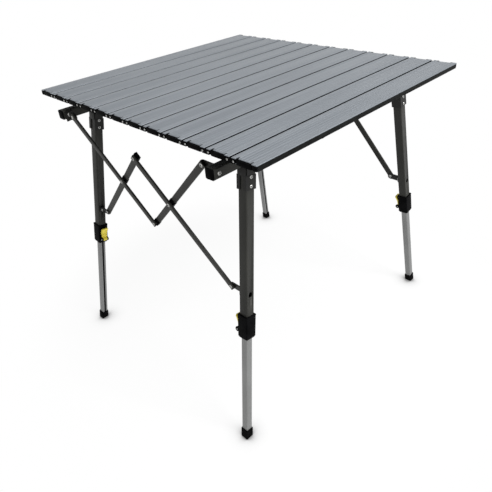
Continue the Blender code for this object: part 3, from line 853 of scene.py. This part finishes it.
def collar_sleeve():
    """The sleeve in the leg's own axes, from its foot up the outside and down the inside."""
    half, flare = COLLAR_SIZE / 2, COLLAR_SIZE / 2 + COLLAR_FLARE
    foot = half - COLLAR_CHAMFER / 3
    wide, narrow = LEG_SIZE / 2 + FIT, LOWER_SIZE / 2 + FIT
    step = -UPPER_END - FIT
    stations = (
        (foot - COLLAR_RIM / 3, COLLAR_CORNER, -COLLAR_END),
        (foot, COLLAR_CORNER, -COLLAR_END + COLLAR_RIM / 2),
        (half, COLLAR_CORNER, -COLLAR_END + COLLAR_CHAMFER),
        (flare - COLLAR_FLARE / 2, COLLAR_CORNER, -COLLAR_TOP - COLLAR_CHAMFER),
        (flare, COLLAR_CORNER, -COLLAR_TOP - COLLAR_CHAMFER / 2),
        (flare, COLLAR_CORNER, -COLLAR_TOP - COLLAR_RIM / 2),
        (flare - COLLAR_RIM / 2, COLLAR_CORNER, -COLLAR_TOP),
        (wide, TUBE_CORNER, -COLLAR_TOP),
        (wide, TUBE_CORNER, step),
        (narrow, LOWER_CORNER, step),
        (narrow, LOWER_CORNER, -COLLAR_END),
    )
    return loft([rounded_ring(*station) for station in stations], closed=True)


def collar_lug(inward, beside):
    """A lug on one side of the lever, bored for its pin, in the leg's own axes."""
    back = -LUG_RADIUS - LUG_EDGE
    outline = arc((0, 0), LUG_RADIUS, -90, 90, steps=10)
    outline += [(back, LUG_RADIUS), (back, -LUG_RADIUS / 2)]
    lug = plate(outline, LUG_THICK, LUG_EDGE)
    lug = cut(lug, rod(LEVER_PIN + FIT, -LUG_THICK, 2 * LUG_THICK))
    across = (inward, 0, 0, inward * pin_out)
    onward = (0, 0, beside, beside * (LEVER_BASE / 2 + FIT))
    upward = (0, 1, 0, -LEVER_PIVOT)
    lug.transform(Matrix((across, onward, upward, (0, 0, 0, 1))))
    return lug


for corner, (side, _) in corners.items():
    collar = joined([collar_sleeve(), collar_lug(-side, -1), collar_lug(-side, 1)])
    collar.transform(leg_axes(corner))
    node = f"lock_collar_{corner}"
    piece(f"collar_{corner}", collar, moulded, f"leg_{corner}", "black", node)


# Cam levers
# A yellow moulded lever lies against each collar's inner face. It is dished, with a raised rim, and
# its barrel turns on a plated pin between the collar's lugs.
LEVER_LENGTH = 0.0335
LEVER_BEND = 0.018
LEVER_TOP = 0.0195
LEVER_THICK = 0.0045
LEVER_CORNER = 0.004
LEVER_FLARE = 0.005
LEVER_RIM = 0.0022
LEVER_ROUND = 0.0007
LEVER_DISH = 0.0010
YELLOW_DARK = (0.70, 0.57, 0.050, 1)
YELLOW_LIGHT = (0.84, 0.71, 0.085, 1)
YELLOW_ROUGH = 0.34
YELLOW_GLOSS = 0.4

lever_barrel = LUG_RADIUS - COLLAR_FLARE - FIT


def lever_level(height, half, dish):
    """One level of the paddle: a flat back, and a face dished between two rims."""
    bend = max(0.0, height - LEVER_BEND) / (LEVER_LENGTH - LEVER_BEND)
    back = LEVER_FLARE * bend - lever_barrel
    face = back + LEVER_THICK
    rim = half - LEVER_RIM
    edge = [(face - LEVER_ROUND, half), (face, half - LEVER_ROUND)]
    edge += [(face, rim), (face - dish, rim - dish)]
    points = [(back, -half), (back, half), *edge, *[(x, -y) for x, y in reversed(edge)]]
    return [(x, y, height) for x, y in points]


def lever_paddle():
    """The paddle, with its barrel round the origin, its face towards +X and its tip up +Z."""
    base, wide = LEVER_BASE / 2, LEVER_TOP / 2
    shoulder = LEVER_LENGTH - LEVER_CORNER
    levels = [lever_level(0.0, base, 0.0), lever_level(lever_barrel, base, 0.0)]
    for height in (lever_barrel + LEVER_RIM, LEVER_BEND, shoulder - LEVER_RIM / 2):
        half = base + (wide - base) * height / LEVER_LENGTH
        levels.append(lever_level(height, half, LEVER_DISH))
    for half, height in arc((wide - LEVER_CORNER, shoulder), LEVER_CORNER, 10, 90):
        levels.append(lever_level(height, half, 0.0))
    spindle = rod(lever_barrel, -base, base, facing((0, 0, 0), (0, 1, 0)))
    return joined([loft(levels), spindle])


def mirrored(mesh, matrix):
    """A mesh moved by axes that may mirror it, with its faces turned outward again."""
    mesh.transform(matrix)
    return joined([mesh])


yellow = moulded_finish("moulded_yellow", YELLOW_DARK, YELLOW_LIGHT, YELLOW_ROUGH, YELLOW_GLOSS)
pin_reach = LEVER_BASE / 2 + FIT + LUG_THICK
for corner, (side, _) in corners.items():
    body = f"lever_{corner}"
    place = Matrix.Translation((-side * pin_out, 0, -LEVER_PIVOT))
    hinge = leg_axes(corner) @ place @ Matrix.Diagonal((-side, 1, 1, 1))
    paddle = mirrored(lever_paddle(), hinge)
    piece(f"lever_{corner}", paddle, yellow, body, "yellow", f"lock_lever_{corner}")
    pins = [rod(LEVER_PIN, -pin_reach, pin_reach, facing((0, 0, 0), (0, 1, 0)))]
    pins += [rivet((0, out * pin_reach, 0), (0, out, 0)) for out in (-1, 1)]
    piece(f"lever_pin_{corner}", mirrored(joined(pins), hinge), plated, body, "silver")


# Lower legs
# Silver anodised square tubes slide in the upper legs. Each is extruded with a channel along its
# inner face, and a black strip lies in the channel.
LOWER_TOP = 0.285
LOWER_WALL = 0.0012
CHANNEL_HALF = 0.0026
CHANNEL_DEPTH = 0.0022
CHANNEL_STRIP = 0.0005
FOOT_SOLE = 0.006
SILVER_DARK = (0.160, 0.162, 0.160, 1)
SILVER_LIGHT = (0.225, 0.228, 0.225, 1)
SILVER_METAL = 0.55
SILVER_ROUGH = 0.32
SILVER_SPREAD = 0.15
SILVER_BUMP = (0.10, 0.0003)
SILVER_LINES = (1600, 1600, 12)
SILVER_CLOUDS = (20, 20, 9)
SILVER_SHARE = 0.5


def drawn_finish():
    """Satin anodised aluminium with fine lines along the tube."""
    finish = Finish(bpy.data.materials.new("anodised_silver"), {"Metallic": SILVER_METAL})
    lines = finish.noise(SILVER_LINES)
    slow = finish.noise(SILVER_CLOUDS, detail=1.0)
    tone = lines * SILVER_SHARE + slow * SILVER_SHARE
    colour = finish.mix(finish.ease(tone, *TONE_SPAN), SILVER_DARK, SILVER_LIGHT)
    return finish.dress(colour, lines * SILVER_SPREAD + SILVER_ROUGH, lines, *SILVER_BUMP)


def floor_drop(axes, x, y, rise):
    """The distance down a leg from its pivot to a height over the floor, at one place."""
    start = axes @ Vector((x, y, 0))
    return (start.z - rise) / axes.col[2].z


def channelled(inward, half, corner, slot, bottom, height):
    """A square ring with round corners and a channel in its inner side."""
    points = rounded(half, half, corner)
    points += [(half, -slot), (bottom, -slot), (bottom, slot), (half, slot)]
    return [(inward * u, v, height) for u, v in points]


drawn_silver = drawn_finish()
for corner, (side, _) in corners.items():
    body = f"lower_leg_{corner}"
    axes = leg_axes(corner)
    low = -floor_drop(axes, 0, 0, FOOT_SOLE)
    half = LOWER_SIZE / 2
    bottom = half - CHANNEL_DEPTH
    outer = (half, LOWER_CORNER, CHANNEL_HALF, bottom)
    inner_half, inner_slot = half - LOWER_WALL, CHANNEL_HALF + LOWER_WALL
    inner = (inner_half, LOWER_CORNER / 2, inner_slot, bottom - LOWER_WALL)
    stations = ((outer, low), (outer, -LOWER_TOP), (inner, -LOWER_TOP), (inner, low))
    stem = loft([channelled(-side, *sizes, height) for sizes, height in stations], closed=True)
    stem.transform(axes)
    piece(f"stem_{corner}", stem, drawn_silver, body, "silver", body)
    strip_low = (-side * bottom, -CHANNEL_HALF, low)
    strip_high = (-side * (bottom + CHANNEL_STRIP), CHANNEL_HALF, -LOWER_TOP)
    strip = slab(strip_low, strip_high, CHANNEL_STRIP / 3)
    strip.transform(axes)
    piece(f"channel_strip_{corner}", strip, moulded, body, "black")


# Feet
# Black rubber boots pushed over the ends of the lower legs, with soft edges, a groove round the
# middle and a sole cut level with the floor.
FOOT_SIZE = 0.0202
FOOT_HEIGHT = 0.0235
FOOT_CORNER = 0.0030
FOOT_EDGE = 0.0010
FOOT_GROOVE = 0.0004
SOLE_ROUND = 0.0032
RUBBER_DARK = (0.0014, 0.0014, 0.0014, 1)
RUBBER_LIGHT = (0.0038, 0.0038, 0.0038, 1)
RUBBER_ROUGH = 0.58
RUBBER_GLOSS = 0.012


def boot(axes):
    """A boot in the leg's own axes: level rings at its sole, square rings above."""
    half, bore = FOOT_SIZE / 2, LOWER_SIZE / 2 + FIT
    rings = []
    for size, rise in arc((half - SOLE_ROUND, SOLE_ROUND), SOLE_ROUND, -90, 0):
        ring = rounded(size, size, FOOT_CORNER)
        rings.append([(u, v, -floor_drop(axes, u, v, rise)) for u, v in ring])
    top = -floor_drop(axes, 0, 0, FOOT_HEIGHT)
    seat = -floor_drop(axes, 0, 0, FOOT_SOLE) - FIT
    waist = (top + seat) / 2
    stations = (
        (half, FOOT_CORNER, waist - FOOT_EDGE),
        (half - FOOT_GROOVE, FOOT_CORNER, waist - FOOT_EDGE / 2),
        (half - FOOT_GROOVE, FOOT_CORNER, waist + FOOT_EDGE / 2),
        (half, FOOT_CORNER, waist + FOOT_EDGE),
        (half, FOOT_CORNER, top - FOOT_EDGE),
        (half - FOOT_EDGE / 4, FOOT_CORNER, top - FOOT_EDGE / 3),
        (half - FOOT_EDGE / 2, FOOT_CORNER, top),
        (bore, LOWER_CORNER, top),
        (bore, LOWER_CORNER, seat),
    )
    return loft(rings + [rounded_ring(*station) for station in stations])


rubber = moulded_finish("moulded_rubber", RUBBER_DARK, RUBBER_LIGHT, RUBBER_ROUGH, RUBBER_GLOSS)
for corner in corners:
    axes = leg_axes(corner)
    cup = boot(axes)
    cup.transform(axes)
    piece(f"boot_{corner}", cup, rubber, f"lower_leg_{corner}", "rubber", f"foot_{corner}")


# Swivels
# Bent steel brackets carry the ends of the scissor arms. One is bolted through each end of a beam,
# one to each leg, and the arm is riveted to its rounded plate.
ARM_THICK = 0.005
LAYER_GAP = 0.0024
SWIVEL_PLATE = 0.003
SWIVEL_EDGE = 0.0007
BEAM_SWIVEL_HALF = 0.0098
BEAM_SWIVEL_UP = 0.0074
BEAM_SWIVEL_DOWN = 0.0140
BEAM_EAR_HALF = 0.0078
LEG_SWIVEL_HALF = 0.007
BOLT_HEAD_RADIUS = 0.0040
BOLT_HEAD = 0.0020
NUT_RADIUS = 0.0050
NUT_HEIGHT = 0.0030
NUT_SHAPE = ((1, 0), (1, 0.8), (0.84, 1))
ARM_RIVET_RADIUS = 0.0040
ARM_RIVET_HEIGHT = 0.0013


def scissor_axes(corner):
    """Axes of a corner's scissor set: X across, Y down from the beam joints to the leg joints."""
    right = corner.replace("left", "right")
    top = Vector(joints[f"beam_arm_turn_{right}"]["pos_m"])
    low = Vector(joints[f"leg_arm_turn_{right}"]["pos_m"])
    across = Vector((1, 0, 0))
    down = Vector((0, low.y - top.y, low.z - top.z)).normalized()
    axes = Matrix((across, down, across.cross(down))).transposed().to_4x4()
    axes.translation = (0, top.y, top.z)
    return axes


def arm_start(corner, kind):
    """The place of an arm's carried end in the scissor set's own axes."""
    place = Vector(joints[f"{kind}_arm_turn_{corner}"]["pos_m"])
    return scissor_axes(corner).inverted() @ place


def arm_layer(corner, kind):
    """Which way an arm lies from the middle plane of its scissor set, in that set's own axes."""
    side, end = corners[corner]
    on_inner_layer = (kind == "beam") == (side == 1)
    return -end if on_inner_layer else end


def nut(point, direction):
    """A hexagonal nut with chamfered corners."""
    return turned(NUT_SHAPE, NUT_RADIUS, NUT_HEIGHT, facing(point, direction), steps=6)


def swivel_plate(corner, kind, root, half, up, down):
    """The rounded plate that an arm is riveted to, and both rivet heads, in the table's axes."""
    side, end = corners[corner]
    axes = scissor_axes(corner)
    start = arm_start(corner, kind)
    layer = arm_layer(corner, kind)
    near, far = layer * LAYER_GAP / 2, layer * (LAYER_GAP / 2 + ARM_THICK)
    behind_arm = kind == "beam" and layer == -end
    way = layer if behind_arm else -layer
    seat, free = (far, near) if behind_arm else (near, far)
    face = seat + way * FIT
    reach = abs(root - start.x)
    outline = arc((0, 0), half, -90, 90, steps=10) + [(-reach, down), (-reach, -up)]
    rows = ((-side, 0, 0, start.x), (0, 1, 0, start.y), (0, 0, way, face), (0, 0, 0, 1))
    made = plate(outline, SWIVEL_PLATE, SWIVEL_EDGE)
    made.transform(axes @ Matrix(rows))
    heads = []
    for level, out in ((free, -way), (face + way * SWIVEL_PLATE, way)):
        point = (start.x, start.y, level)
        head = rivet(point, (0, 0, out), ARM_RIVET_RADIUS, ARM_RIVET_HEIGHT)
        head.transform(axes)
        heads.append(head)
    return made, heads


for corner, (side, end) in corners.items():
    body = f"beam_swivel_{corner}"
    face = side * (beam_x - beam_size / 2 - FIT)
    back = face - side * SWIVEL_PLATE
    low = (face, -BEAM_SWIVEL_UP, -BEAM_SWIVEL_HALF)
    foot = slab(low, (back, BEAM_SWIVEL_DOWN, BEAM_SWIVEL_HALF), SWIVEL_EDGE)
    foot.transform(scissor_axes(corner))
    sizes = (BEAM_EAR_HALF, BEAM_SWIVEL_UP, BEAM_SWIVEL_DOWN)
    ear, heads = swivel_plate(corner, "beam", face, *sizes)
    piece(f"beam_bracket_{corner}", joined([foot, ear]), pressed, body, "steel", body)
    bolt = (side * (beam_x + beam_size / 2), end * bolt_y, beam_z)
    heads.append(rivet(bolt, (side, 0, 0), BOLT_HEAD_RADIUS, BOLT_HEAD))
    heads.append(nut((back, end * bolt_y, beam_z), (-side, 0, 0)))
    piece(f"beam_bolts_{corner}", joined(heads), plated, body, "silver")

    body = f"leg_swivel_{corner}"
    axes = leg_axes(corner)
    face = -side * (LEG_SIZE / 2 + FIT)
    back = face - side * SWIVEL_PLATE
    half = LEG_SWIVEL_HALF
    foot = slab((face, -half, -BOLT_DROP - half), (back, half, half - BOLT_DROP), SWIVEL_EDGE)
    foot.transform(axes)
    bolt = axes @ Vector((0, 0, -BOLT_DROP))
    root = side * (abs(bolt.x) - LEG_SIZE / 2 - SWIVEL_PLATE / 2)
    ear, heads = swivel_plate(corner, "leg", root, half, half, half)
    piece(f"leg_ear_{corner}", joined([foot, ear]), pressed, body, "steel", body)
    fixing = nut((back, 0, -BOLT_DROP), (-side, 0, 0))
    fixing.transform(axes)
    piece(f"leg_bolts_{corner}", joined([fixing, *heads]), plated, body, "silver")


# Scissor arms
# Flat charcoal tubes cross in two layers on each end of the table. Black sleeves space the layers
# where they cross and meet, rivets hold them there, and black plugs close the tubes.
UPPER_MIDDLE = 0.0447
LOWER_MIDDLE = 0.2094
ARM_WIDTH = 0.014
ARM_OVERHANG = 0.0070
MIDDLE_OVERHANG = 0.0056
ARM_CORNER = 0.0014
ARM_WALL = 0.0007
SPACER_GAP = 0.0009
SLEEVE_HALF = 0.014
SLEEVE_ENDS = {"beam": 0.0042, "leg": 0.0083}
SLEEVE_WALL = 0.0004
SLEEVE_EDGE = 0.0004
PLUG_LIP = 0.0014
PLUG_RIM = 0.00084
PLUG_DEPTH = 0.004


def crossing(corner):
    """The place in the scissor plane where a corner's two arms cross."""
    first = arm_start(corner, "beam").xy
    second = arm_start(corner, "leg").xy
    run = Vector((0, LOWER_MIDDLE)) - first
    other = Vector((0, UPPER_MIDDLE)) - second
    return first + run * ((second - first).cross(other) / run.cross(other))


def arm_plug(level, out):
    """A plug in a tube's end, with a lip that covers the tube's wall, along Z of the arm's axes."""
    half_u, half_v = ARM_WIDTH / 2, ARM_THICK / 2
    stations = (
        (ARM_WALL + FIT, -PLUG_DEPTH),
        (ARM_WALL + FIT, 0.0),
        (0.0, 0.0),
        (0.0, PLUG_RIM),
        (ARM_WALL / 2, PLUG_LIP),
    )
    rings = []
    for shrink, reach in stations:
        outline = rounded(half_u - shrink, half_v - shrink, ARM_CORNER - shrink / 2)
        rings.append([(u, v, level + out * reach) for u, v in outline])
    return loft(rings)


def arm_sleeve(layer, first, last):
    """A sleeve round an arm that fills most of the gap to the other layer, in the arm's axes."""
    half = ARM_WIDTH / 2 + SLEEVE_WALL
    near = -layer * (ARM_THICK / 2 + LAYER_GAP - SPACER_GAP)
    far = layer * (ARM_THICK / 2 + SLEEVE_WALL)
    return slab((-half, near, first), (half, far, last), SLEEVE_EDGE)


for corner, (_, end) in corners.items():
    for kind, drop in (("beam", LOWER_MIDDLE), ("leg", UPPER_MIDDLE)):
        body = f"{kind}_arm_{corner}"
        start = arm_start(corner, kind).xy
        run = Vector((0, drop)) - start
        length = run.length
        run.normalize()
        layer = arm_layer(corner, kind)
        axes = Matrix(((-run.y, 0, run.x), (run.x, 0, run.y), (0, 1, 0))).to_4x4()
        axes.translation = (*start, layer * (LAYER_GAP + ARM_THICK) / 2)
        axes = scissor_axes(corner) @ axes
        low, high = PLUG_LIP - ARM_OVERHANG, length + MIDDLE_OVERHANG - PLUG_LIP
        sizes = (ARM_WIDTH / 2, ARM_THICK / 2, ARM_WALL)
        strut = tube(*sizes, low, high, axes, corner=ARM_CORNER)
        piece(f"strut_{body}", strut, coated, body, "charcoal", body)
        cross = (crossing(corner) - start).length
        black = [arm_plug(low, -1), arm_plug(high, 1)]
        heads = []
        for place, beyond in ((cross, SLEEVE_HALF), (length, SLEEVE_ENDS[kind])):
            face = (0, layer * ARM_THICK / 2, place)
            heads.append(rivet(face, (0, layer, 0), ARM_RIVET_RADIUS, ARM_RIVET_HEIGHT))
            if layer == -end:
                black.append(arm_sleeve(layer, place - SLEEVE_HALF, place + beyond))
        fittings = joined(black)
        fittings.transform(axes)
        piece(f"fittings_{body}", fittings, moulded, body, "black")
        rivets = joined(heads)
        rivets.transform(axes)
        piece(f"rivets_{body}", rivets, plated, body, "silver")


# Floor, backdrop and light
# A plain white floor, with a painted shadow where a foot stands on it, that fades into the white
# backdrop, with soft light from the right, the front and above.
WHITE = (1, 1, 1, 1)
FLOOR_SIZE = 30.0
FLOOR_WHITE = (0.90, 0.90, 0.90, 1)
FLOOR_ROUGH = 0.9
FLOOR_GLOW = 0.90
CONTACT_SHADOW_GREY = (0.26, 0.26, 0.26, 1)
CONTACT_SHADOW_REACH = 0.06
CONTACT_SHADOW_LOW = 0.50
CONTACT_SHADOW_RAYS = 32
SHADOW_NEAR = 0.45
SHADOW_FAR = 0.75
LAMPS = (
    ("key_right", (2.3, 0.3, 2.3), 1.3, 115.0),
    ("front_right", (1.1, -2.6, 1.3), 2.2, 15.0),
    ("above", (0.0, 0.3, 3.0), 2.6, 12.0),
)
LAMP_AIM = Vector((0, 0, 0.4))
WORLD_LIGHT = 0.30
SEEN = ("Camera", "Glossy", "Transmission")


def seen_rays(finish):
    """1 for what the camera sees straight, in a reflection or through glass, and 0 for light."""
    rays = [finish.node("LightPath", {}, output=f"Is {kind} Ray") for kind in SEEN]
    both = rays[0].math("MAXIMUM", rays[0], rays[1])
    return both.math("MAXIMUM", both, rays[2])


ground = bpy.data.meshes.new("floor")
shape = bmesh.new()
bmesh.ops.create_grid(shape, x_segments=1, y_segments=1, size=FLOOR_SIZE / 2)
shape.to_mesh(ground)
shape.free()
floor = bpy.data.objects.new("floor", ground)
bpy.context.collection.objects.link(floor)
paint = {"Base Color": FLOOR_WHITE, "Roughness": FLOOR_ROUGH}
white = Finish(bpy.data.materials.new("floor_white"), paint)
place = white.node("TexCoord", {}, output="Object")
away = white.node("VectorMath", {0: place}, output="Value", operation="LENGTH")
share = white.ease(away, SHADOW_NEAR, SHADOW_FAR) * (1 - FLOOR_GLOW) + FLOOR_GLOW
# Painted shadow: the floor's glow turns grey where ambient occlusion finds a foot close by.
contact = {"Distance": CONTACT_SHADOW_REACH}
open_floor = white.node("AmbientOcclusion", contact, output="AO", samples=CONTACT_SHADOW_RAYS)
shade = white.mix(white.ease(open_floor, CONTACT_SHADOW_LOW, 1.0), CONTACT_SHADOW_GREY, WHITE)
glow = white.node("Emission", {"Color": shade, "Strength": 1.0})
painted = Wire(white, white.shader.outputs[0])
white.show(white.node("MixShader", {0: share * seen_rays(white), 1: painted, 2: glow}))
ground.materials.append(white.owner)

for name, place, size, power in LAMPS:
    lamp = bpy.data.lights.new(name, "AREA")
    lamp.size = size
    lamp.energy = power
    stand = bpy.data.objects.new(name, lamp)
    stand.location = place
    stand.rotation_mode = "QUATERNION"
    stand.rotation_quaternion = (LAMP_AIM - Vector(place)).to_track_quat("-Z", "Y")
    bpy.context.collection.objects.link(stand)

world = bpy.data.worlds.new("studio")
bpy.context.scene.world = world
sky = Finish(world, {"Color": WHITE, "Strength": WORLD_LIGHT}, shader="Background")
backdrop = sky.node("Background", {"Color": WHITE, "Strength": 1.0})
lit = Wire(sky, sky.shader.outputs[0])
sky.show(sky.node("MixShader", {0: seen_rays(sky), 1: lit, 2: backdrop}))

bpy.context.scene.view_settings.view_transform = "Standard"
